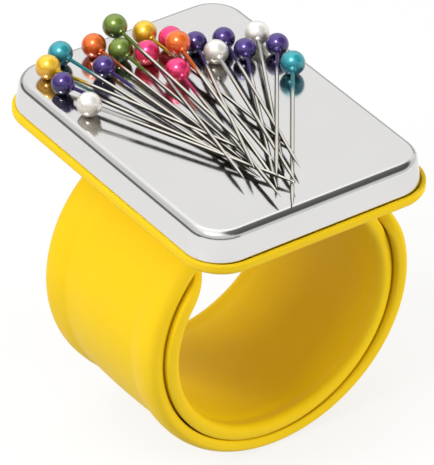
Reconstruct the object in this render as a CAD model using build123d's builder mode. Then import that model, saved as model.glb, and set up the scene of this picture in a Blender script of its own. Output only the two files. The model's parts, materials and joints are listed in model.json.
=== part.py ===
from build123d import *
import math
import os

os.makedirs("parts", exist_ok=True)

# Magnetic wrist pin cushion: a steel lid over magnets in a silicone tray, on a slap band.
# Millimetres. The origin is the centre of the wrist, Y runs along the wrist, +Z points out
# through the lid, and the closed coil lies round the Y axis.

# ---- Driving dimensions -------------------------------------------------------------------
COIL_RADIUS = 24.0          # outside of the closed coil
BAND_THICKNESS = 2.3        # one layer of silicone with its spring strip inside
LAYER_GAP = 0.3             # air between the two overlapping wings
BAND_WIDTH = 28.5
WING_START = 20.0           # degrees from the top where each wing leaves the centre
OUTER_WING_END = 304.0      # degrees from the top, round past the bottom
INNER_WING_END = 318.0
LINKS_PER_WING = 8
LINK_GAP = 0.25             # degrees left open between two links of a wing
EDGE_ROUND = 0.8
TIP_ROUND = 7.0

SPRING_THICKNESS = 0.3
SPRING_WIDTH = 20.0
SPRING_INSET = 4.0          # degrees of plain silicone past the strip at a wing's tip
NEAR = 0.01                 # an edge this close to a place is taken to be at it

LID_TOP = 30.5              # height of the working face over the wrist centre
LID_X = -2.4                # the lid sits a little off the coil's centre line
LID_WIDTH = 40.6            # across, along X
LID_LENGTH = 54.5           # along the wrist, along Y
LID_HEIGHT = 5.2
LID_CORNER = 5.6
LID_EDGE_ROUND = 1.5
LID_SHEET = 0.4
LID_DRAFT = 3.5             # degrees that the wall leans outwards on its way down
CURL_HEIGHT = 0.5           # rolled foot of the lid's wall
CURL_OUT = 0.25

TRAY_FLOOR = 24.0           # underside of the tray, tangent to the coil
TRAY_X = -2.1               # the lid sits a little off the tray's centre too
TRAY_Y = -0.3
FLANGE_OUT = 1.15           # flange beyond the lid's top outline
SEAT_DEPTH = 0.4            # the lid's foot stands in a shallow seat in the flange
SEAT_CLEARANCE = 0.02
TRAY_LIP_HEIGHT = 2.4       # upright lip that the lid is pushed over
TRAY_LIP_WALL = 1.2
LIP_CLEARANCE = 0.15        # between the lip and the inside of the lid
FLANGE_ROUND = 0.6
RIM_ROUND = 0.2
SADDLE_WIDTH = 14.0         # where tray and band join, under the floor
SADDLE_DEPTH = 3.0
JOIN_ANGLE = 9.0            # degrees either side of the top where both band layers are one

BACKING_THICKNESS = 0.5
MAGNET_THICKNESS = 3.0
MAGNET_WIDTH = 26.0
MAGNET_LENGTH = 20.0
MAGNET_SPACING = 22.0
MAGNET_CORNER = 0.8
MAGNET_CHAMFER = 0.3
HOLDER_MARGIN = 0.4         # between the magnet holder and the tray's lip

PIN_LENGTH = 36.0           # from the middle of the head to the point
PIN_RADIUS = 0.3
POINT_LENGTH = 3.5
POINT_RADIUS = 0.06
HEAD_RADIUS = 1.95
SMALL_HEAD_RADIUS = 1.8
SHAFT_START = 1.0           # the shaft stops this far from the middle of its head
PIN_AIR = 0.03              # least air between two pins, and under a head
HEIGHT_STEP = 0.1           # a pin's point is raised by this much until it lies clear

# ---- Sizes worked out from them -------------------------------------------------------------
OUTER_LAYER = (COIL_RADIUS - BAND_THICKNESS, COIL_RADIUS)
INNER_TOP = COIL_RADIUS - BAND_THICKNESS - LAYER_GAP
INNER_LAYER = (INNER_TOP - BAND_THICKNESS, INNER_TOP)
LID_FOOT = LID_TOP - LID_HEIGHT
FLARE = LID_HEIGHT * math.tan(math.radians(LID_DRAFT))
CURL = FLARE + CURL_OUT                             # lid's foot beyond its top outline
LIP = -LID_SHEET - LIP_CLEARANCE                    # outside of the tray's lip, from that outline
HOLDER = LIP - TRAY_LIP_WALL - HOLDER_MARGIN        # edge of the magnet holder, from it


def save(part, name):
    part.label = name
    export_step(part, "parts/" + name + ".step")


def lid_outline(margin, mode=Mode.ADD, centre=(LID_X, 0)):
    # The lid's top outline grown by a margin, or shrunk by a negative one.
    with Locations(centre):
        RectangleRounded(LID_WIDTH + 2 * margin, LID_LENGTH + 2 * margin, LID_CORNER + margin, mode=mode)


# ---- Slap band ------------------------------------------------------------------------------
# An angle on the coil is measured from the top, and side is -1 on the left and 1 on the right.
def on_coil(radius, angle, side):
    turn = math.radians(angle)
    return (side * radius * math.sin(turn), radius * math.cos(turn))


def sector(layer, start, end, side):
    low, high = layer
    middle = (start + end) / 2
    ThreePointArc(on_coil(high, start, side), on_coil(high, middle, side), on_coil(high, end, side))
    Line(on_coil(high, end, side), on_coil(low, end, side))
    ThreePointArc(on_coil(low, end, side), on_coil(low, middle, side), on_coil(low, start, side))
    Line(on_coil(low, start, side), on_coil(high, start, side))


def across(width):
    return Plane.XZ.offset(-width / 2)


def spring_layer(layer):
    middle = (layer[0] + layer[1]) / 2
    return (middle - SPRING_THICKNESS / 2, middle + SPRING_THICKNESS / 2)


def band_link(layer, start, end, side, is_tip):
    spring_end = end - SPRING_INSET if is_tip else end
    with BuildPart() as link:
        with BuildSketch(across(BAND_WIDTH)):
            with BuildLine():
                sector(layer, start, end, side)
            make_face()
        extrude(amount=BAND_WIDTH)
        if is_tip:
            x, z = on_coil(sum(layer) / 2, end, side)
            corners = [
                edge for edge in link.edges().filter_by(GeomType.LINE)
                if math.hypot(edge.center().X - x, edge.center().Z - z) < NEAR
                and abs(edge.center().Y) > BAND_WIDTH / 2 - NEAR
            ]
            fillet(corners, TIP_ROUND)
        long_edges = [
            edge for edge in link.edges().filter_by(GeomType.CIRCLE)
            if abs(edge.center().Y) > BAND_WIDTH / 2 - NEAR
        ]
        fillet(long_edges, EDGE_ROUND)
        with BuildSketch(across(SPRING_WIDTH)):
            with BuildLine():
                sector(spring_layer(layer), start, spring_end, side)
            make_face()
        extrude(amount=SPRING_WIDTH, mode=Mode.SUBTRACT)
    return link.part


def spring_link(layer, start, end, side):
    with BuildPart() as strip:
        with BuildSketch(across(SPRING_WIDTH)):
            with BuildLine():
                sector(spring_layer(layer), start, end, side)
            make_face()
        extrude(amount=SPRING_WIDTH)
    return strip.part


def build_wing(name, layer, wing_end, side):
    step = (wing_end - WING_START) / LINKS_PER_WING
    for number in range(1, LINKS_PER_WING + 1):
        is_tip = number == LINKS_PER_WING
        start = WING_START + (number - 1) * step + LINK_GAP
        end = WING_START + number * step
        save(band_link(layer, start, end, side, is_tip), name + "_band_" + str(number))
        spring_end = end - SPRING_INSET if is_tip else end
        save(spring_link(layer, start, spring_end, side), name + "_spring_" + str(number))


build_wing("outer", OUTER_LAYER, OUTER_WING_END, -1)
build_wing("inner", INNER_LAYER, INNER_WING_END, 1)

# ---- Silicone tray with the middle of the band ------------------------------------------------
# One moulding: the flange under the lid, the lip inside it, and the band's middle, which steps
# from the outer layer on the left to the inner layer on the right.
with BuildPart() as tray:
    with BuildSketch(Plane.XY.offset(TRAY_FLOOR)):
        lid_outline(FLANGE_OUT, centre=(TRAY_X, TRAY_Y))
    extrude(amount=LID_FOOT + SEAT_DEPTH - TRAY_FLOOR)
    fillet(tray.faces().sort_by(Axis.Z)[0].edges(), FLANGE_ROUND)
    fillet(tray.faces().sort_by(Axis.Z)[-1].edges(), RIM_ROUND)
    with BuildSketch(Plane.XY.offset(LID_FOOT)):
        lid_outline(CURL + SEAT_CLEARANCE)
    extrude(amount=SEAT_DEPTH, mode=Mode.SUBTRACT)
    with BuildSketch(Plane.XY.offset(LID_FOOT)):
        lid_outline(LIP)
        lid_outline(LIP - TRAY_LIP_WALL, mode=Mode.SUBTRACT)
    extrude(amount=TRAY_LIP_HEIGHT)
    with BuildSketch(across(BAND_WIDTH)):
        with BuildLine():
            sector(OUTER_LAYER, 0, WING_START, -1)
        make_face()
        with BuildLine():
            sector(INNER_LAYER, 0, WING_START, 1)
        make_face()
        with BuildLine():
            sector((INNER_LAYER[0], COIL_RADIUS), -JOIN_ANGLE, JOIN_ANGLE, 1)
        make_face()
        with Locations((0, TRAY_FLOOR - SADDLE_DEPTH / 2)):
            Rectangle(SADDLE_WIDTH, SADDLE_DEPTH)
    extrude(amount=BAND_WIDTH)
    for layer, side in ((OUTER_LAYER, -1), (INNER_LAYER, 1)):
        with BuildSketch(across(SPRING_WIDTH)):
            with BuildLine():
                sector(spring_layer(layer), JOIN_ANGLE, WING_START, side)
            make_face()
        extrude(amount=SPRING_WIDTH, mode=Mode.SUBTRACT)
save(tray.part, "tray")
save(spring_link(OUTER_LAYER, JOIN_ANGLE, WING_START, -1), "spring_root_left")
save(spring_link(INNER_LAYER, JOIN_ANGLE, WING_START, 1), "spring_root_right")

# ---- Lid ------------------------------------------------------------------------------------
# A pressed sheet: the wall leans out to a small curl that rests on the tray's flange.
def lid_form(top, margin, edge_round):
    with BuildPart() as form:
        with BuildSketch(Plane.XY.offset(top)):
            lid_outline(margin)
        extrude(amount=LID_FOOT - top, taper=-LID_DRAFT)
        fillet(form.faces().sort_by(Axis.Z)[-1].edges(), edge_round)
    return form.part


lid_inside = lid_form(LID_TOP - LID_SHEET, -LID_SHEET, LID_EDGE_ROUND - LID_SHEET)
with BuildPart() as lid:
    add(lid_form(LID_TOP, 0, LID_EDGE_ROUND))
    with BuildSketch(Plane.XY.offset(LID_FOOT)):
        lid_outline(CURL)
    extrude(amount=CURL_HEIGHT)
    add(lid_inside, mode=Mode.SUBTRACT)
save(lid.part, "lid")

# ---- What the lid hides: two magnets in a plastic holder on a steel backing plate -------------
with BuildPart() as backing_plate:
    with BuildSketch(Plane.XY.offset(LID_FOOT)):
        lid_outline(HOLDER)
    extrude(amount=BACKING_THICKNESS)
save(backing_plate.part, "backing_plate")

MAGNET_FOOT = LID_FOOT + BACKING_THICKNESS
MAGNET_PLACES = (("magnet_near", -MAGNET_SPACING / 2), ("magnet_far", MAGNET_SPACING / 2))
for name, y in MAGNET_PLACES:
    with BuildPart() as magnet:
        with BuildSketch(Plane.XY.offset(MAGNET_FOOT)):
            with Locations((LID_X, y)):
                RectangleRounded(MAGNET_WIDTH, MAGNET_LENGTH, MAGNET_CORNER)
        extrude(amount=MAGNET_THICKNESS)
        chamfer(magnet.faces().sort_by(Axis.Z)[-1].edges(), MAGNET_CHAMFER)
    save(magnet.part, name)

with BuildPart() as magnet_holder:
    with BuildSketch(Plane.XY.offset(MAGNET_FOOT)):
        lid_outline(HOLDER)
        for name, y in MAGNET_PLACES:
            with Locations((LID_X, y)):
                RectangleRounded(MAGNET_WIDTH, MAGNET_LENGTH, MAGNET_CORNER, mode=Mode.SUBTRACT)
    extrude(amount=MAGNET_THICKNESS)
save(magnet_holder.part, "magnet_holder")

# ---- Pins -----------------------------------------------------------------------------------
# Each pin lies fanned on the lid: colour, place of its head from the lid's centre along X and
# Y, the bearing that its point lies in, and how high its head is propped on the pins under it.
PINS = [
    ("turquoise", -12.2, 24.1, -80, 0.0),
    ("purple", -8.6, 17.5, -84, 0.0),
    ("orange", -6.7, 23.1, -86, 0.0),
    ("orange", 2.5, 13.9, -100, 2.2),
    ("green", -2.5, 23.6, -91, 1.8),
    ("purple", -16.4, 17.2, -70, 0.0),
    ("white", -16.4, 10.1, -66, 0.0),
    ("pink", 0.1, 10.4, -100, 0.0),
    ("purple", 12.2, 9.7, -118, 0.0),
    ("yellow", 1.8, 21.8, -87, 0.0),
    ("white", 16.2, 12.2, -119, 0.0),
    ("white", 7.9, 11.4, -106, 0.0),
    ("turquoise", 15.9, 2.4, -126, 0.0),
    ("purple", 11.2, 14.0, -107, 0.0),
    ("pink", -1.0, 17.0, -101, 0.0),
    ("purple", 6.9, 15.4, -111, 0.0),
    ("pink", 4.3, 18.3, -99, 0.0),
    ("yellow", -15.9, 22.0, -69, 0.0),
    ("purple", 17.1, 8.1, -126, 0.0),
    ("green", -4.0, 19.8, -89, 0.0),
]
COLOURS = ["white", "yellow", "orange", "pink", "purple", "turquoise", "green"]


def head_radius(colour):
    return SMALL_HEAD_RADIUS if colour == "purple" else HEAD_RADIUS


def point_gap(point, start, end):
    run = end - start
    share = min(1.0, max(0.0, (point - start).dot(run) / run.dot(run)))
    return (start + run * share - point).length


def shaft_gap(start, end, other_start, other_end):
    # Least distance between two straight shafts.
    run = end - start
    other = other_end - other_start
    apart = other_start - start
    square = run.cross(other)
    least = min(
        point_gap(start, other_start, other_end),
        point_gap(end, other_start, other_end),
        point_gap(other_start, start, end),
        point_gap(other_end, start, end),
    )
    if square.length > NEAR:
        share = apart.cross(other).dot(square) / square.dot(square)
        other_share = apart.cross(run).dot(square) / square.dot(square)
        if 0 < share < 1 and 0 < other_share < 1:
            least = min(least, abs(apart.dot(square.normalized())))
    return least


def is_clear(head, point, laid, heads):
    for other_head, other_point in laid:
        if shaft_gap(head, point, other_head, other_point) < 2 * PIN_RADIUS + PIN_AIR:
            return False
    for other, other_radius in heads:
        if other is not head and point_gap(other, head, point) < other_radius + PIN_RADIUS + PIN_AIR:
            return False
    return True


def lay_pins():
    # A pin's point comes to rest as low as the pins laid before it, and all the heads, allow.
    heads = []
    for colour, x, y, bearing, prop in PINS:
        radius = head_radius(colour)
        heads.append((Vector(LID_X + x, y, LID_TOP + radius + PIN_AIR + prop), radius))
    laid = []
    for pin, (head, radius) in zip(PINS, heads):
        turn = math.radians(pin[3])
        height = PIN_RADIUS + PIN_AIR
        while True:
            drop = LID_TOP + height - head.Z
            reach = math.sqrt(PIN_LENGTH ** 2 - drop ** 2)
            point = head + Vector(reach * math.cos(turn), reach * math.sin(turn), drop)
            if is_clear(head, point, laid, heads):
                break
            height += HEIGHT_STEP
        laid.append((head, point))
    return laid


def pin_plane(head, point, distance):
    along = (point - head).normalized()
    return Plane(origin=head + along * distance, z_dir=along)


laid_pins = lay_pins()

with BuildPart() as pin_shafts:
    for head, point in laid_pins:
        with BuildSketch(pin_plane(head, point, SHAFT_START)):
            Circle(PIN_RADIUS)
        extrude(amount=PIN_LENGTH - POINT_LENGTH - SHAFT_START)
        with BuildSketch(pin_plane(head, point, PIN_LENGTH - POINT_LENGTH)):
            Circle(PIN_RADIUS)
        with BuildSketch(pin_plane(head, point, PIN_LENGTH)):
            Circle(POINT_RADIUS)
        loft()
save(pin_shafts.part, "pin_shafts")

for colour in COLOURS:
    with BuildPart() as pearls:
        for pin, (head, point) in zip(PINS, laid_pins):
            if pin[0] == colour:
                with Locations(Location(head)):
                    Sphere(head_radius(colour))
                with BuildSketch(pin_plane(head, point, SHAFT_START)):
                    Circle(PIN_RADIUS)
                extrude(amount=HEAD_RADIUS, mode=Mode.SUBTRACT)
    save(pearls.part, "pearl_heads_" + colour)
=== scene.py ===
import json
import math

import bmesh
import bpy
from mathutils import Matrix, Vector


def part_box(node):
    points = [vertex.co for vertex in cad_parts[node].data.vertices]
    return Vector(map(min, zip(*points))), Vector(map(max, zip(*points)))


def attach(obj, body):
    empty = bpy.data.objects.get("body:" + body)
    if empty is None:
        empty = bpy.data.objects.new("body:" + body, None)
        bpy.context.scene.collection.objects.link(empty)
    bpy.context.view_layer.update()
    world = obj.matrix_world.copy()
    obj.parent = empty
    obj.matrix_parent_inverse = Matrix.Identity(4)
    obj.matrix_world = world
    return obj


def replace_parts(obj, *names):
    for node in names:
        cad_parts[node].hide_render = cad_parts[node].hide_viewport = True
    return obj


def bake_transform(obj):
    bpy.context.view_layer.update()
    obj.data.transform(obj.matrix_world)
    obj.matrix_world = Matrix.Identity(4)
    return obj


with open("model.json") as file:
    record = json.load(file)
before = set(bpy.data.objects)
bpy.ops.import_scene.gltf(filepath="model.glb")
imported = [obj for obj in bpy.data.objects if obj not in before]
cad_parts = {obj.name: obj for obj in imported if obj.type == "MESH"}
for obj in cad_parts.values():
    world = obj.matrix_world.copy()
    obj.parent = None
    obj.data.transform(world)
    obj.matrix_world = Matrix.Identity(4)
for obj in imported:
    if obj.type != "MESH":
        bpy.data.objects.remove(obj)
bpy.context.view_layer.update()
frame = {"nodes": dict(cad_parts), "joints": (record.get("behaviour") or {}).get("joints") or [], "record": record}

# Wrist pin cushion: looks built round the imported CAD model. Metres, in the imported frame: the
# origin is the middle of the wrist, Y runs along the wrist and +Z points out through the lid.
# Angles round the coil are degrees from the top, and grow along each wing towards its end.
MM = 0.001

# ---- Places and sizes that the frame gives -----------------------------------------------------
LID_LOW, LID_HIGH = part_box("lid")
TRAY_LOW, TRAY_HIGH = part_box("tray")
OUTER_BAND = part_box("outer_band_5")
JOINTS = {joint["name"]: joint for joint in frame["joints"]}
LINKS = sum(1 for name in JOINTS if name.startswith("outer_uncurl"))

COIL_RADIUS = -OUTER_BAND[0].z
BAND_WIDTH = OUTER_BAND[1].y - OUTER_BAND[0].y
WRIST_RADIUS = frame["record"]["mounts"][0]["dims"]["r_mm"] * MM
LID_CENTRE = (LID_LOW + LID_HIGH) / 2
LID_HALF = (LID_HIGH - LID_LOW) / 2
TRAY_CENTRE = (TRAY_LOW + TRAY_HIGH) / 2
FLANGE_HALF = (TRAY_HIGH - TRAY_LOW) / 2

# ---- Small sizes of the shapes made here -------------------------------------------------------
BAND_THICKNESS = 2.3 * MM
BEAD_DIP = 0.2 * MM             # depth of the groove that sets off the bead along the inner face
BEAD_DIP_PLACE = 2.5 * MM       # from the band's edge
BEAD_DIP_WIDTH = 0.8 * MM
GROOVE_PLACE = 5.7 * MM         # from the band's edge; the outer face swells on both sides of it
GROOVE_DEPTH = 0.28 * MM
GROOVE_FLOOR = 0.3              # share of its depth that the groove keeps where nothing swells
SIDE_SWELL = 0.26 * MM          # how far the swell along each edge stands proud
EDGE_ROLL = 2.4 * MM            # how far in the outer face's rounded edges reach
SEAM_ROLL = 0.4 * MM            # the same where one layer lies on the other, for a tight seam
EDGE_STEPS = 8                  # steps round an edge of a cross-section
FLAT_STEPS = 26                 # steps from there to its middle
OUTER_END = 304.0               # where the wings' free ends are
INNER_END = 318.0
TIP_ROUND = 7.0 * MM            # radius of a free end's corners
TIP_LEAST = 0.15 * MM           # the last ring is as wide as the band at this distance from its end
TIP_DRIFT = 1.3 * MM            # the free ends have crept sideways, towards -Y
TIP_LEAN = 0.65 * MM            # the inner wing's free end leans in
LEAN_SPAN = 75.0                # over this much of the coil
COIL_SKEW = (-0.030, 0.030)     # the coil's axis leans by this much in X and Z for each unit of Y
SKEW_SPAN = 50.0                # the skew grows from nothing over this much of the coil
FIRM_START = 245.0              # from here on the inner wing follows it less and less,
FIRM_SPAN = 60.0                # until after this much of the coil
FIRM_SHARE = 0.6                # this share of it is gone
ROOT_ANGLE = 14.0               # where the supple part of a wing starts
RING_STEP = 1.2                 # between two rings of a wing's mesh
FINE_SPAN = 3.0                 # the end of a wing has finer rings
FINE_RINGS = 14

LID_TURN = 1.5 * MM             # radius of the lid's top edge
LID_SHEET = 0.4 * MM
LID_DRAFT = 3.5                 # degrees that the walls lean
LID_CORNER = 5.6 * MM
CURL_OUT = 0.25 * MM            # the foot is rolled outwards by this much
SEAT_DEPTH = 0.4 * MM           # the lid's foot stands in a seat in the tray's flange
CORNER_STEPS = 14               # steps round a corner of the lid or the tray

WEB_HALF = 6.6 * MM             # half of the web's size in X
FLANGE_CORNER = 6.9 * MM
FLANGE_SWELL = 0.15 * MM        # the flange is wider than the CAD's by this much on each side
FLANGE_DROP = 0.1 * MM          # and deeper by this much
FLANGE_CREEP = Vector((-0.2, 0.1, 0)) * MM      # and sits to one side by this much

SHAFT_RADIUS = 0.3 * MM
POINT_LENGTH = 3.5 * MM
POINT_SETTLE = 0.55             # the CAD stacks the points clear of each other; here they sink
NECK_END = 7.5 * MM             # the shaft takes the pearl's colour this far down from the head
NECK_SHADE = 0.5                # and is darker there than on the pearl
PEARL_SIDES = 40
SHAFT_SIDES = 16


# ---- Mesh helpers ------------------------------------------------------------------------------
def make_object(name, points, faces, sharp_rings=()):
    mesh = bpy.data.meshes.new(name)
    mesh.from_pydata(points, [], faces)
    mesh.shade_smooth()
    if sharp_rings:
        sharp = {tuple(sorted(edge)) for ring in sharp_rings for edge in ring}
        for edge in mesh.edges:
            edge.use_edge_sharp = tuple(sorted(edge.vertices)) in sharp
    mesh.validate()
    piece = bpy.data.objects.new(name, mesh)
    bpy.context.scene.collection.objects.link(piece)
    return piece


def ring_edges(first, count):
    return [(first + i, first + (i + 1) % count) for i in range(count)]


def shell(rings, base=0):
    """Points and faces of a closed solid through rings of equally many points, with flat caps."""
    count = len(rings[0])
    points = [tuple(point) for ring in rings for point in ring]
    faces = []
    for r in range(len(rings) - 1):
        a, b = base + r * count, base + (r + 1) * count
        for i in range(count):
            j = (i + 1) % count
            faces.append((a + i, a + j, b + j, b + i))
    last = base + (len(rings) - 1) * count
    faces.append(tuple(reversed(range(base, base + count))))
    faces.append(tuple(range(last, last + count)))
    return points, faces


def loft(name, rings, sharp_caps=False):
    points, faces = shell(rings)
    count = len(rings[0])
    caps = [ring_edges(0, count), ring_edges(len(points) - count, count)]
    return make_object(name, points, faces, caps if sharp_caps else ())


def join_lofts(name, solids):
    """One object of several solids. Each solid is a list of rings."""
    points, faces = [], []
    for rings in solids:
        more_points, more_faces = shell(rings, len(points))
        points += more_points
        faces += more_faces
    return make_object(name, points, faces)


def rounded_outline(half_x, half_y, corner):
    """Points round a rounded rectangle, anticlockwise, always equally many."""
    points = []
    for turn, sx, sy in ((0, 1, 1), (90, -1, 1), (180, -1, -1), (270, 1, -1)):
        for i in range(CORNER_STEPS + 1):
            a = math.radians(turn + 90 * i / CORNER_STEPS)
            x = sx * (half_x - corner) + corner * math.cos(a)
            y = sy * (half_y - corner) + corner * math.sin(a)
            points.append((x, y))
    return points


def plate(name, half_x, half_y, corner, centre, profile):
    """A solid of rounded-rectangle rings, one for each (margin, height) of the profile."""
    rings = []
    for margin, z in profile:
        outline = rounded_outline(half_x + margin, half_y + margin, corner + margin)
        rings.append([(centre.x + x, centre.y + y, z) for x, y in outline])
    return loft(name, rings)


# ---- Materials ---------------------------------------------------------------------------------
def new_material(name, **values):
    material = bpy.data.materials.new(name)
    material.use_nodes = True
    shader = material.node_tree.nodes["Principled BSDF"]
    for socket, value in values.items():
        shader.inputs[socket.replace("_", " ")].default_value = value
    return material, material.node_tree, shader


def add_node(tree, kind, **values):
    node = tree.nodes.new(kind)
    for name, value in values.items():
        setattr(node, name, value)
    return node


def grey(value):
    return (value, value, value)


def noise(tree, scale, detail, stretch=(1, 1, 1)):
    place = add_node(tree, "ShaderNodeTexCoord")
    mapping = add_node(tree, "ShaderNodeMapping")
    mapping.inputs["Scale"].default_value = stretch
    texture = add_node(tree, "ShaderNodeTexNoise")
    texture.inputs["Scale"].default_value = scale
    texture.inputs["Detail"].default_value = detail
    tree.links.new(place.outputs["Object"], mapping.inputs["Vector"])
    tree.links.new(mapping.outputs["Vector"], texture.inputs["Vector"])
    return texture.outputs["Fac"]


def facing_up(tree):
    """1 where the surface faces up, 0 where it is upright and -1 where it faces down."""
    shape = add_node(tree, "ShaderNodeNewGeometry")
    split = add_node(tree, "ShaderNodeSeparateXYZ")
    tree.links.new(shape.outputs["Normal"], split.inputs["Vector"])
    return split.outputs["Z"]


def ramp(tree, factor, low, high, at=(0.3, 0.7)):
    node = add_node(tree, "ShaderNodeValToRGB")
    for element, place, colour in zip(node.color_ramp.elements, at, (low, high)):
        element.position = place
        element.color = (*colour, 1)
    tree.links.new(factor, node.inputs["Fac"])
    return node.outputs["Color"]


def vary(tree, shader, socket, factor, low, high, at=(0.3, 0.7)):
    """Let a socket of the shader run from one value to another with the factor."""
    tree.links.new(ramp(tree, factor, low, high, at), shader.inputs[socket])


def bump(tree, shader, height, distance, strength, under=None):
    node = add_node(tree, "ShaderNodeBump")
    node.inputs["Distance"].default_value = distance
    node.inputs["Strength"].default_value = strength
    tree.links.new(height, node.inputs["Height"])
    if under:
        tree.links.new(under, node.inputs["Normal"])
    tree.links.new(node.outputs["Normal"], shader.inputs["Normal"])
    return node.outputs["Normal"]


def silicone():
    material, tree, shader = new_material("silicone", Specular_IOR_Level=0.17)
    cloud = noise(tree, 90, 3)
    vary(tree, shader, "Base Color", cloud, (0.745, 0.492, 0.002), (0.775, 0.516, 0.003))
    vary(tree, shader, "Roughness", noise(tree, 400, 3), grey(0.46), grey(0.58))
    bump(tree, shader, noise(tree, 3500, 2), 0.01 * MM, 0.5)
    return material


def lid_steel():
    material, tree, shader = new_material("lid_steel", Metallic=1.0)
    cloud = noise(tree, 60, 4)
    grain = noise(tree, 900, 5, (1.0, 0.06, 1.0))
    vary(tree, shader, "Base Color", cloud, (0.715, 0.708, 0.698), (0.735, 0.728, 0.718))
    vary(tree, shader, "Roughness", grain, grey(0.10), grey(0.17))
    wave = bump(tree, shader, noise(tree, 45, 2), 0.02 * MM, 0.5)
    bump(tree, shader, grain, 0.002 * MM, 0.4, wave)
    return material


def hidden_steel():
    material, tree, shader = new_material("spring_steel", Metallic=1.0)
    cloud = noise(tree, 300, 4)
    vary(tree, shader, "Base Color", cloud, (0.30, 0.31, 0.34), (0.42, 0.43, 0.45))
    vary(tree, shader, "Roughness", noise(tree, 700, 4), grey(0.28), grey(0.42))
    return material


def magnet_black():
    material, tree, shader = new_material("magnet_black", Metallic=0.3)
    speckle = noise(tree, 1500, 5)
    vary(tree, shader, "Base Color", speckle, (0.02, 0.02, 0.022), (0.05, 0.05, 0.052))
    vary(tree, shader, "Roughness", noise(tree, 600, 3), grey(0.5), grey(0.7))
    return material


def holder_plastic():
    material, tree, shader = new_material("holder_plastic")
    speckle = noise(tree, 800, 5)
    vary(tree, shader, "Base Color", speckle, (0.035, 0.035, 0.037), (0.06, 0.06, 0.062))
    vary(tree, shader, "Roughness", noise(tree, 900, 3), grey(0.6), grey(0.8))
    return material


PEARLS = {
    # colour: (crown, underside: a darker colour below that is painted shade)
    "white": ((0.90, 0.88, 0.83), (0.50, 0.46, 0.39)),
    "yellow": ((0.98, 0.60, 0.03), (0.55, 0.27, 0.008)),
    "orange": ((0.90, 0.17, 0.010), (0.48, 0.05, 0.005)),
    "pink": ((0.92, 0.035, 0.21), (0.62, 0.02, 0.05)),
    "purple": ((0.070, 0.032, 0.22), (0.012, 0.005, 0.05)),
    "turquoise": ((0.03, 0.37, 0.43), (0.006, 0.11, 0.15)),
    "green": ((0.19, 0.28, 0.035), (0.04, 0.07, 0.008)),
}


def pearl(colour):
    """Darker below: painted shade and painted reflection, a stand-in for what a real pearl mirrors there."""
    crown, painted_shade_below = PEARLS[colour]
    material, tree, shader = new_material(
        "pearl_" + colour, Metallic=0.4, Coat_Weight=0.7, Coat_Roughness=0.10, Specular_IOR_Level=0.5
    )
    # The base colour runs from the darker underside colour below to the crown above: painted shade.
    vary(tree, shader, "Base Color", facing_up(tree), painted_shade_below, crown, (0.0, 0.8))
    vary(tree, shader, "Roughness", noise(tree, 900, 4), grey(0.22), grey(0.34))
    bump(tree, shader, noise(tree, 500, 3), 0.02 * MM, 0.5)
    return material


def pin_steel():
    """Bright above and dark below: painted reflection and painted shade, which stand in for what a thin shaft
    mirrors.

    Near its head a shaft takes a darker copy of the pearl's colour.
    """
    material, tree, shader = new_material("pin_steel")
    tint = add_node(tree, "ShaderNodeAttribute", attribute_name="neck_tint")
    neck = add_node(tree, "ShaderNodeAttribute", attribute_name="neck")
    # The steel's colour is painted reflection and painted shade: near black facing down, bright facing up.
    steel_painted_reflection = ramp(tree, facing_up(tree), (0.035, 0.030, 0.022), (0.72, 0.69, 0.62), (0.42, 0.86))
    mix = add_node(tree, "ShaderNodeMix", data_type="RGBA")
    tree.links.new(neck.outputs["Fac"], mix.inputs["Factor"])
    tree.links.new(steel_painted_reflection, mix.inputs["A"])
    tree.links.new(tint.outputs["Color"], mix.inputs["B"])
    tree.links.new(mix.outputs["Result"], shader.inputs["Base Color"])
    metal = add_node(tree, "ShaderNodeMapRange")
    metal.inputs["To Min"].default_value = 1.0
    metal.inputs["To Max"].default_value = 0.5
    tree.links.new(neck.outputs["Fac"], metal.inputs["Value"])
    tree.links.new(metal.outputs["Result"], shader.inputs["Metallic"])
    vary(tree, shader, "Roughness", noise(tree, 2000, 3), grey(0.12), grey(0.2))
    return material


MATERIALS = {
    "silicone": silicone(),
    "lid_steel": lid_steel(),
    "spring_strip": hidden_steel(),
    "backing_steel": hidden_steel(),
    "magnet": magnet_black(),
    "holder": holder_plastic(),
    "pin_steel": pin_steel(),
}
for colour in PEARLS:
    MATERIALS["pearl_" + colour] = pearl(colour)


def dress(piece, slot):
    piece.data.materials.clear()
    piece.data.materials.append(MATERIALS[slot])


# ---- CAD nodes that stay -----------------------------------------------------------------------
for subpart in frame["record"]["subparts"]:
    dress(frame["nodes"][subpart["node"]], subpart["material_slot"])


# ---- Lid ---------------------------------------------------------------------------------------
def arc(middle, radius, start, end, steps):
    """Points of an arc; its angles run from straight up towards the outside."""
    points = []
    for i in range(steps + 1):
        a = math.radians(start + (end - start) * i / steps)
        points.append((middle[0] + radius * math.sin(a), middle[1] + radius * math.cos(a)))
    return points


def lid_profile():
    """(distance outside the top's flat part, height), over the outside and back up the inside."""
    top, foot = LID_HIGH.z, LID_LOW.z
    middle = -3 * LID_TURN
    lean = math.tan(math.radians(LID_DRAFT))
    slant = math.cos(math.radians(LID_DRAFT))
    turn = (LID_TURN * lean - LID_TURN / slant, top - LID_TURN)
    curl = CURL_OUT + LID_SHEET / 2
    curl_x, curl_z = (top - foot) * lean - LID_SHEET / 2, foot + curl
    curl_centre = (curl_x + CURL_OUT - 0.1 * MM, curl_z)
    profile = [(middle, top), (-2 * LID_TURN, top)]
    profile += arc(turn, LID_TURN, 0, 90 - LID_DRAFT, 12)
    profile += arc(curl_centre, curl * 0.75, 60, 180, 8)
    profile += [(curl_x - LID_SHEET, foot + 0.05 * MM)]
    profile += list(reversed(arc(turn, LID_TURN - LID_SHEET, 0, 90 - LID_DRAFT, 6)))
    profile += [(middle, top - LID_SHEET)]
    return profile


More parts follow.
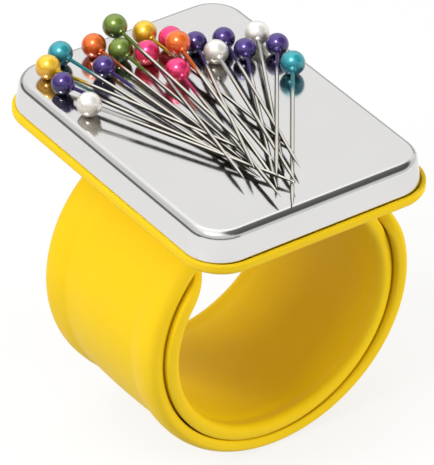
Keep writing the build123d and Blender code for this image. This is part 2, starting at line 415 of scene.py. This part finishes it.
flare = (LID_HIGH.z - LID_LOW.z) * math.tan(math.radians(LID_DRAFT)) + CURL_OUT
lid = plate("lid_shell", LID_HALF.x - flare, LID_HALF.y - flare, LID_CORNER, LID_CENTRE, lid_profile())
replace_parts(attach(lid, "cushion"), "lid")
dress(lid, "lid_steel")


# ---- Silicone tray -----------------------------------------------------------------------------
def flange_profile():
    """(distance outside the outline, height): underneath, round the rim, down the seat, over the lip."""
    top, foot = LID_LOW.z + SEAT_DEPTH, COIL_RADIUS - FLANGE_DROP
    half = (top - foot) / 2
    rim = 0.22 * MM
    middle = -5 * MM
    seat = -0.75 * MM
    lip = -2.0 * MM
    profile = [(x, foot) for x in (middle, -2.5 * MM, -1.2 * MM)]
    profile += list(reversed(arc((-half, foot + half), half, 90, 180, 10)))
    profile += arc((-rim, top - rim), rim, 90, 0, 5)
    profile += arc((seat + rim, top - rim), rim, 0, -90, 5)
    profile += [(seat, LID_LOW.z), (lip, LID_LOW.z)]
    profile += [(lip - 0.05 * MM, TRAY_HIGH.z), (lip - 1.2 * MM, TRAY_HIGH.z)]
    profile += [(lip - 1.3 * MM, LID_LOW.z), (middle, LID_LOW.z)]
    return profile


tray = plate("tray_moulding", FLANGE_HALF.x + FLANGE_SWELL, FLANGE_HALF.y + FLANGE_SWELL, FLANGE_CORNER,
             TRAY_CENTRE + FLANGE_CREEP, flange_profile())
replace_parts(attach(tray, "cushion"), "tray")
dress(tray, "silicone")


# ---- Slap band ---------------------------------------------------------------------------------
def rounding(edge_distance, roll):
    """Share of the full height at a distance from an edge that is rounded over by the roll."""
    if edge_distance >= roll:
        return 1.0
    return math.sqrt(max(0.0, 1 - (1 - edge_distance / roll) ** 2))


def inner_face(edge_distance, roll):
    """Half the thickness, with a groove that sets off the bead where the edge is fully round."""
    half = BAND_THICKNESS / 2
    dip = BEAD_DIP * math.exp(-((edge_distance - BEAD_DIP_PLACE) / BEAD_DIP_WIDTH) ** 2)
    return half * rounding(edge_distance, roll) - dip * roll / half


def outer_face(edge_distance, proud, roll):
    """A swell along each edge, a groove, and a flatter swell in the middle."""
    half = BAND_THICKNESS / 2
    crown = half + proud
    depth = GROOVE_DEPTH * max(GROOVE_FLOOR, proud / SIDE_SWELL)
    if edge_distance < roll:
        return crown * rounding(edge_distance, roll)
    if edge_distance < GROOVE_PLACE:
        share = (edge_distance - roll) / (GROOVE_PLACE - roll)
        return crown - (proud + depth) * share ** 2.5
    share = (edge_distance - GROOVE_PLACE) / (BAND_WIDTH / 2 - GROOVE_PLACE)
    return half - depth + (proud / 2 + depth / 2) * (1 - (1 - share) ** 2)


def section(half_width, form):
    """One cross-section of a layer, as (y, height over the layer's middle), anticlockwise."""
    proud, outer_roll, inner_roll = form
    half = BAND_THICKNESS / 2
    edge = [half * (1 - math.cos(math.radians(90 * i / EDGE_STEPS))) for i in range(EDGE_STEPS + 1)]
    flat = [half + (half_width - half) * i / FLAT_STEPS for i in range(1, FLAT_STEPS + 1)]
    distances = edge + flat
    upper = [(half_width - d, outer_face(d, proud, outer_roll)) for d in distances]
    upper += [(-y, h) for y, h in reversed(upper[:-1])]
    lower = [(half_width - d, -inner_face(d, inner_roll)) for d in distances]
    lower += [(-y, h) for y, h in reversed(lower[:-1])]
    return upper + list(reversed(lower[1:-1]))


def tip_half_width(distance):
    """Half the band's width at a distance from the end of a wing, for its rounded corners."""
    if distance >= TIP_ROUND:
        return BAND_WIDTH / 2
    return BAND_WIDTH / 2 - TIP_ROUND + math.sqrt(TIP_ROUND ** 2 - (TIP_ROUND - distance) ** 2)


def tip_fullness(distance):
    """Share of its thickness that a wing has at a distance from its end, for a rounded end."""
    half = BAND_THICKNESS / 2
    if distance >= half:
        return 1.0
    return math.sqrt(max(0.01, 1 - (1 - distance / half) ** 2))


def ease(share):
    share = min(1.0, max(0.0, share))
    return share * share * (3 - 2 * share)


class Wing:
    """One layer of the coil, from its root under the tray to its free end, as a row of skins.

    The side is -1 for a wing that starts towards -X. Each skin runs from the middle of one link to the middle of
    the next.
    """

    def __init__(self, name, side, outer_radius, end_angle, form, lean):
        self.name = name
        self.side = side
        self.middle = outer_radius - BAND_THICKNESS / 2
        self.end = end_angle
        self.form = form
        self.lean = lean
        first = JOINTS[name + "_uncurl_1"]["pos_m"]
        second = JOINTS[name + "_uncurl_2"]["pos_m"]
        self.start = math.degrees(math.atan2(abs(first[0]), first[2]))
        self.step = math.degrees(math.atan2(abs(second[0]), second[2])) - self.start

    def looseness(self, angle):
        """Share of the coil's skew that the wing follows at an angle."""
        loose = ease((angle - ROOT_ANGLE) / SKEW_SPAN)
        if self.lean:
            loose *= 1 - FIRM_SHARE * ease((angle - FIRM_START) / FIRM_SPAN)
        return loose

    def ring(self, angle):
        share = max(0.0, angle - self.start) / (self.end - self.start)
        drift = -TIP_DRIFT * share ** 2
        lean = self.lean * max(0.0, 1 - (self.end - angle) / LEAN_SPAN) ** 2
        loose = self.looseness(angle)
        left = math.radians(self.end - angle) * self.middle
        full = tip_fullness(left)
        a = math.radians(angle)
        points = []
        for y, height in section(tip_half_width(max(left, TIP_LEAST)), self.form):
            radius = self.middle - lean + height * full
            x = self.side * radius * math.sin(a) + y * COIL_SKEW[0] * loose
            z = radius * math.cos(a) + y * COIL_SKEW[1] * loose
            points.append((x, y + drift, z))
        return points if self.side < 0 else list(reversed(points))

    def point(self, angle):
        a = math.radians(angle)
        return Vector((self.side * self.middle * math.sin(a), 0, self.middle * math.cos(a)))

    def angles(self, low, high, at_tip):
        count = max(2, round((high - low) / RING_STEP))
        found = [low + (high - low) * i / count for i in range(count + 1)]
        if at_tip:
            found = [a for a in found if a < high - FINE_SPAN]
            found += [high - FINE_SPAN * (1 - i / FINE_RINGS) ** 2 for i in range(FINE_RINGS)] + [high]
        return found

    def build(self):
        for number in range(1, LINKS + 1):
            middle = self.start + (number - 0.5) * self.step
            low = ROOT_ANGLE if number == 1 else middle - self.step
            at_tip = number == LINKS
            high = self.end if at_tip else middle
            rings = [self.ring(a) for a in self.angles(low, high, at_tip)]
            piece = loft(f"{self.name}_wing_{number}", rings, sharp_caps=True)
            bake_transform(piece)
            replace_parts(piece, f"{self.name}_band_{number}")
            dress(piece, "silicone")


# (how proud the swell stands, roll of the outer face's edges, roll of the inner face's edges)
OUTER_FORM = (SIDE_SWELL, EDGE_ROLL, SEAM_ROLL)
INNER_FORM = (0.0, SEAM_ROLL, BAND_THICKNESS / 2)
INNER_RADIUS = WRIST_RADIUS + BAND_THICKNESS
outer_wing = Wing("outer", -1, COIL_RADIUS, OUTER_END, OUTER_FORM, 0.0)
inner_wing = Wing("inner", 1, INNER_RADIUS, INNER_END, INNER_FORM, TIP_LEAN)
outer_wing.build()
inner_wing.build()


# ---- Band's middle, under the tray -------------------------------------------------------------
MIDDLE_RINGS = 24


def middle_ring(angle):
    """From the outer wing's root to the inner wing's; the angle grows towards +X here."""
    share = ease((angle + ROOT_ANGLE) / (2 * ROOT_ANGLE))
    layer_middle = outer_wing.middle + (inner_wing.middle - outer_wing.middle) * share
    form = [outer + (inner - outer) * share for outer, inner in zip(OUTER_FORM, INNER_FORM)]
    a = math.radians(angle)
    points = []
    for y, height in section(BAND_WIDTH / 2, form):
        radius = layer_middle + height
        points.append((radius * math.sin(a), y, radius * math.cos(a)))
    return list(reversed(points))


middle_angles = [-ROOT_ANGLE + i * 2 * ROOT_ANGLE / MIDDLE_RINGS for i in range(MIDDLE_RINGS + 1)]
band_middle = loft("band_middle", [middle_ring(a) for a in middle_angles], sharp_caps=True)
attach(band_middle, "cushion")
dress(band_middle, "silicone")


# ---- Web that joins the band to the tray -------------------------------------------------------
def web_profile():
    """(distance outside the outline, height), flaring out towards the tray."""
    low, high, flare_out = COIL_RADIUS - 1.3 * MM, COIL_RADIUS + 0.1 * MM, 0.7 * MM
    profile = [(-2 * MM, low), (-1 * MM, low), (0.0, low)]
    profile += [(flare_out * (i / 6) ** 3, low + (high - low) * i / 6) for i in range(1, 7)]
    return profile + [(-1 * MM, high), (-2 * MM, high)]


WEB_LENGTH_HALF = BAND_WIDTH / 2 - 0.8 * MM
WEB_CORNER = 2.2 * MM
web = plate("web", WEB_HALF, WEB_LENGTH_HALF, WEB_CORNER, Vector((0, 0, 0)), web_profile())
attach(web, "cushion")
dress(web, "silicone")


# ---- Pins --------------------------------------------------------------------------------------
def islands(node):
    """The separate solids of a node, each as a list of its points."""
    shape = bmesh.new()
    shape.from_mesh(frame["nodes"][node].data)
    bmesh.ops.remove_doubles(shape, verts=shape.verts, dist=0.001 * MM)
    shape.verts.ensure_lookup_table()
    seen, found = set(), []
    for vertex in shape.verts:
        if vertex.index in seen:
            continue
        stack, group = [vertex], []
        seen.add(vertex.index)
        while stack:
            here = stack.pop()
            group.append(here.co.copy())
            for edge in here.link_edges:
                other = edge.other_vert(here)
                if other.index not in seen:
                    seen.add(other.index)
                    stack.append(other)
        found.append(group)
    shape.free()
    return found


def ball_of(points):
    low = Vector(min(p[i] for p in points) for i in range(3))
    high = Vector(max(p[i] for p in points) for i in range(3))
    return (low + high) / 2, max(high - low) / 2


HEADS = [(colour, *ball_of(group)) for colour in PEARLS for group in islands("pearl_heads_" + colour)]


def pin_of(points):
    """(colour, centre of the head, radius of the head, point) of the pin that a shaft belongs to."""
    colour, centre, radius = min(HEADS, key=lambda head: min((p - head[1]).length for p in points))
    reach = max((p - centre).length for p in points)
    ends = [p for p in points if (p - centre).length > reach - 0.2 * MM]
    point = sum(ends, Vector()) / len(ends)
    height = point.z - LID_HIGH.z - SHAFT_RADIUS
    return colour, centre, radius, point - Vector((0, 0, height * POINT_SETTLE))


PINS = [pin_of(group) for group in islands("pin_shafts")]


def lathe(origin, axis, profile, around):
    """Rings round an axis, one for each (distance along the axis, radius)."""
    square = axis.orthogonal().normalized()
    third = axis.cross(square)
    rings = []
    for along, radius in profile:
        ring = []
        for i in range(around):
            a = 2 * math.pi * i / around
            ring.append(origin + axis * along + (square * math.cos(a) + third * math.sin(a)) * radius)
        rings.append(ring)
    return rings


def pearl_profile(radius):
    """(distance along the pin from the head's middle, radius): the ball, then a collar of paint."""
    collar, collar_length = 0.55 * MM, 0.35 * MM
    stop = math.degrees(math.asin(collar / radius))
    profile = []
    for i in range(29):
        a = math.radians(179 - (179 - stop) * i / 28)
        profile.append((radius * math.cos(a), radius * math.sin(a)))
    seat = radius * math.cos(math.radians(stop))
    profile += [(seat + collar_length * 0.6, collar * 0.92), (seat + collar_length, collar * 0.7)]
    return profile


def shaft_profile(length):
    """(distance along the pin from the head's middle, radius), down to the point."""
    straight = length - POINT_LENGTH
    places = [1.0 * MM, 2.5 * MM, NECK_END - 1.0 * MM, NECK_END + 1.0 * MM]
    profile = [(s, SHAFT_RADIUS) for s in places]
    profile += [(NECK_END + (straight - NECK_END) * i / 6, SHAFT_RADIUS) for i in range(2, 7)]
    for i in range(1, 9):
        share = i / 8
        profile.append((straight + POINT_LENGTH * share, SHAFT_RADIUS * (1 - share) ** 0.8 + 0.015 * MM))
    return profile


for colour in PEARLS:
    solids = []
    for pin_colour, centre, radius, point in PINS:
        if pin_colour == colour:
            axis = (point - centre).normalized()
            solids.append(lathe(centre, axis, pearl_profile(radius), PEARL_SIDES))
    pearls = join_lofts("pearls_" + colour, solids)
    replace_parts(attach(pearls, "pins"), "pearl_heads_" + colour)
    dress(pearls, "pearl_" + colour)

shaft_solids, tints, necks = [], [], []
for colour, centre, radius, point in PINS:
    axis = (point - centre).normalized()
    profile = shaft_profile((point - centre).length)
    shaft_solids.append(lathe(centre, axis, profile, SHAFT_SIDES))
    crown = PEARLS[colour][0]
    for along, _ in profile:
        tints += [(*(NECK_SHADE * c for c in crown), 1.0)] * SHAFT_SIDES
        necks += [1.0 if along < NECK_END - 0.5 * MM else 0.0] * SHAFT_SIDES
shafts = join_lofts("shafts", shaft_solids)
tint = shafts.data.attributes.new("neck_tint", "FLOAT_COLOR", "POINT")
tint.data.foreach_set("color", [c for rgba in tints for c in rgba])
neck = shafts.data.attributes.new("neck", "FLOAT", "POINT")
neck.data.foreach_set("value", necks)
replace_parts(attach(shafts, "pins"), "pin_shafts")
dress(shafts, "pin_steel")


# ---- Floor and flags ---------------------------------------------------------------------------
FLOOR_HALF = 4.0
FLOOR_Z = -COIL_RADIUS - SIDE_SWELL - 0.2 * MM
FLAG_RADIUS = 0.45
FLAG_FOOT = FLOOR_Z + 2 * MM
FLAG_TOP = 155 * MM
FLAG_STEPS = 24


def staged(name, points, faces, material):
    mesh = bpy.data.meshes.new(name)
    mesh.from_pydata(points, [], faces)
    mesh.materials.append(material)
    thing = bpy.data.objects.new(name, mesh)
    bpy.context.scene.collection.objects.link(thing)
    return thing


def pale_floor():
    """It glows, so that it comes out white round the object's soft shadow."""
    white = (1, 1, 1, 1)
    material, tree, shader = new_material(
        "pale_floor", Roughness=0.9, Specular_IOR_Level=0.0, Emission_Color=white, Emission_Strength=0.765
    )
    vary(tree, shader, "Base Color", noise(tree, 3, 3), grey(0.19), grey(0.21))
    return material


corners = ((-1, -1), (1, -1), (1, 1), (-1, 1))
floor_points = [(x * FLOOR_HALF, y * FLOOR_HALF, FLOOR_Z) for x, y in corners]
staged("floor", floor_points, [(0, 1, 2, 3)], pale_floor()).visible_diffuse = False


def flag_material(name, glow):
    """A dull card that looks the same from everywhere: its shade is what it gives off."""
    return new_material(name, Base_Color=(0.03, 0.03, 0.03, 1), Roughness=1.0, Specular_IOR_Level=0.0,
                        Emission_Color=(1, 1, 1, 1), Emission_Strength=glow)[0]


def flag(name, ends, foot, material):
    """A card round the set, seen by reflections only. Its ends are degrees from +X."""
    start, end = ends
    points = []
    for i in range(FLAG_STEPS + 1):
        a = math.radians(start + (end - start) * i / FLAG_STEPS)
        x, y = FLAG_RADIUS * math.cos(a), FLAG_RADIUS * math.sin(a)
        points += [(x, y, foot), (x, y, FLAG_TOP)]
    faces = [(2 * i, 2 * i + 2, 2 * i + 3, 2 * i + 1) for i in range(FLAG_STEPS)]
    thing = staged(name, points, faces, material)
    thing.visible_camera = False
    thing.visible_diffuse = False
    thing.visible_shadow = False


# They draw the dark lines along the lid's top edge. The front one starts higher, which keeps it
# out of the foot of the lid's walls.
flag_black = flag_material("flag_black", 0.15)
flag_grey = flag_material("flag_grey", 0.45)
flag("left_flag", (105, 185), FLAG_FOOT, flag_black)
flag("front_flag", (185, 290), 60 * MM, flag_black)
flag("back_flag", (15, 105), FLAG_FOOT, flag_grey)


# ---- Light -------------------------------------------------------------------------------------
def softbox(name, place, size, power):
    light = bpy.data.lights.new(name, "AREA")
    light.shape = "RECTANGLE"
    light.size, light.size_y = size
    light.energy = power
    lamp = bpy.data.objects.new(name, light)
    lamp.location = place
    lamp.rotation_mode = "QUATERNION"
    lamp.rotation_quaternion = (-Vector(place)).to_track_quat("-Z", "Y")
    bpy.context.scene.collection.objects.link(lamp)
    return lamp


# Two soft lamps that reflections don't see, and a small one that only they see, for the sparks on
# the pearls.
softbox("key", (-0.72, 0.05, 0.45), (0.5, 0.5), 5.3).visible_glossy = False
softbox("fill", (0.66, -0.62, 0.14), (0.4, 0.24), 5.8).visible_glossy = False
softbox("spark", (-0.42, -0.18, 0.80), (0.22, 0.22), 5.5).visible_diffuse = False

BACK_WALL = Vector((0.48, 0.66, 0.58))                  # the lid's top mirrors this direction
HIGH_CARD = Vector((0.48, -0.36, 0.80)).normalized()    # its rounded edge towards -Y, this one
# (height from 0 straight down to 1 straight up, brightness)
SKY = ((0.48, 0.68), (0.52, 1.0), (0.84, 1.0), (0.93, 1.5))
WORLD_STRENGTH = 0.77


def near(tree, place, direction, brightness, cosines):
    """1 far from a direction, and the given brightness close to it."""
    towards = add_node(tree, "ShaderNodeVectorMath", operation="DOT_PRODUCT")
    towards.inputs[1].default_value = direction
    tree.links.new(place, towards.inputs[0])
    return ramp(tree, towards.outputs["Value"], grey(1.0), grey(brightness), cosines)


def multiplied(tree, first, second):
    product = add_node(tree, "ShaderNodeMix", data_type="RGBA", blend_type="MULTIPLY", clamp_result=False)
    product.inputs["Factor"].default_value = 1.0
    tree.links.new(first, product.inputs["A"])
    tree.links.new(second, product.inputs["B"])
    return product.outputs["Result"]


def studio():
    """A white studio: brighter overhead and at the back, dimmer under the floor, one dark card."""
    world = bpy.data.worlds.new("studio")
    bpy.context.scene.world = world
    world.use_nodes = True
    tree = world.node_tree
    place = add_node(tree, "ShaderNodeTexCoord").outputs["Generated"]
    split = add_node(tree, "ShaderNodeSeparateXYZ")
    tree.links.new(place, split.inputs["Vector"])
    height = add_node(tree, "ShaderNodeMapRange")
    height.inputs["From Min"].default_value = -1.0
    tree.links.new(split.outputs["Z"], height.inputs["Value"])
    (low, dim), (level, plain), *higher = SKY
    sky = ramp(tree, height.outputs["Result"], grey(dim), grey(plain), (low, level))
    for position, brightness in higher:
        sky.node.color_ramp.elements.new(position).color = (*grey(brightness), 1)
    wall = near(tree, place, BACK_WALL, 1.33, (0.6, 0.9))
    high_card = near(tree, place, HIGH_CARD, 0.13, (0.80, 0.90))
    light = multiplied(tree, multiplied(tree, sky, wall), high_card)
    background = tree.nodes["Background"]
    tree.links.new(light, background.inputs["Color"])
    background.inputs["Strength"].default_value = WORLD_STRENGTH


studio()

# ---- Camera ------------------------------------------------------------------------------------
CAMERA_AZIMUTH = -36.1          # degrees; 0 looks along +Y
CAMERA_ELEVATION = 35.18
CAMERA_ROLL = 1.49
CAMERA_DISTANCE = 748.4 * MM
CAMERA_LENS = 384.5             # millimetres, for the default sensor
CAMERA_AIM = Vector((-8.49, -9.29, 16.28)) * MM


def camera_axes():
    """The camera's right, up and backward directions, as the columns of a matrix."""
    azimuth, elevation = math.radians(CAMERA_AZIMUTH), math.radians(CAMERA_ELEVATION)
    level = math.cos(elevation)
    back = Vector((math.sin(azimuth) * level, -math.cos(azimuth) * level, math.sin(elevation)))
    right = Vector((math.cos(azimuth), math.sin(azimuth), 0))
    upright = Matrix((right, back.cross(right), back)).transposed()
    return upright @ Matrix.Rotation(math.radians(CAMERA_ROLL), 3, "Z"), back


axes, back = camera_axes()
camera_data = bpy.data.cameras.new("camera")
camera_data.lens = CAMERA_LENS
camera_data.clip_start = 0.01
camera = bpy.data.objects.new("camera", camera_data)
camera.matrix_world = Matrix.Translation(CAMERA_AIM + back * CAMERA_DISTANCE) @ axes.to_4x4()
bpy.context.scene.collection.objects.link(camera)
bpy.context.scene.camera = camera
bpy.context.scene.view_settings.view_transform = "Standard"
